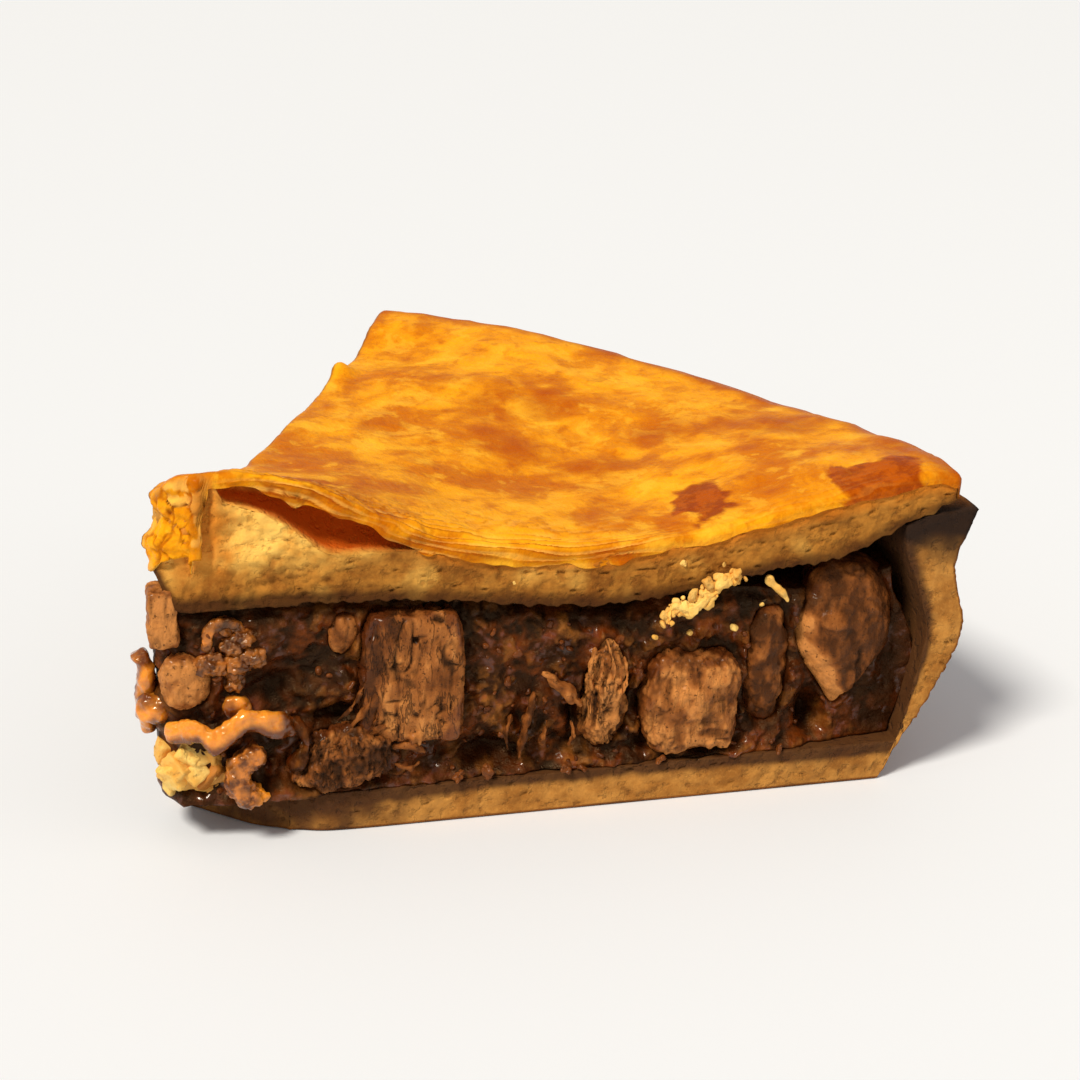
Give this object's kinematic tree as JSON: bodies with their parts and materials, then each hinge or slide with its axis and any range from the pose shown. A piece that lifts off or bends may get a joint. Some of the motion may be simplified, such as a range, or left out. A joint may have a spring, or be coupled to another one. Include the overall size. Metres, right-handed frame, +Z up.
{
  "type": "beef pie slice",
  "caption": "Wedge of a deep shortcrust pie: thick glazed golden lid with a lifted blister, pastry case, and a dark gravy filling of diced stewed beef showing at both cuts.",
  "frame": {"origin": "centre of the slice's bounding box, on the table under the flat base", "axes": "+Z up, +X from the slice's point to the pie's wall along the front cut, +Y from the front cut to the back cut"},
  "size_m": [0.1254, 0.1125, 0.0569],
  "materials": {
    "golden_crust": "egg-glazed golden shortcrust skin, mottled, over pale crumb at the cuts",
    "baked_pastry": "baked shortcrust, browned outside, pale dry crumb at the cuts",
    "beef_gravy": "thick wet dark-brown gravy with shreds of beef",
    "stewed_beef": "moist stewed beef with an open grain and cracks",
    "soft_onion": "soft translucent onion stained by gravy"
  },
  "bodies": {
    "root": {"case": "baked_pastry", "lid": "golden_crust", "filling": "beef_gravy", "beef_large_dice": "stewed_beef", "beef_low_shred": "stewed_beef", "beef_small_piece": "stewed_beef", "beef_ragged_piece": "stewed_beef", "beef_round_dice": "stewed_beef", "beef_smooth_column": "stewed_beef", "beef_pointed_piece": "stewed_beef", "beef_nose_slab": "stewed_beef", "beef_nose_ball": "stewed_beef", "beef_back_end": "stewed_beef", "beef_back_high": "stewed_beef", "beef_back_low": "stewed_beef", "beef_back_tall": "stewed_beef", "beef_back_rim": "stewed_beef", "beef_curl": "stewed_beef", "onion_strip": "soft_onion", "onion_jelly": "soft_onion", "pastry_lump": "baked_pastry", "hanging_crumb": "baked_pastry"}
  },
  "joints": []
}
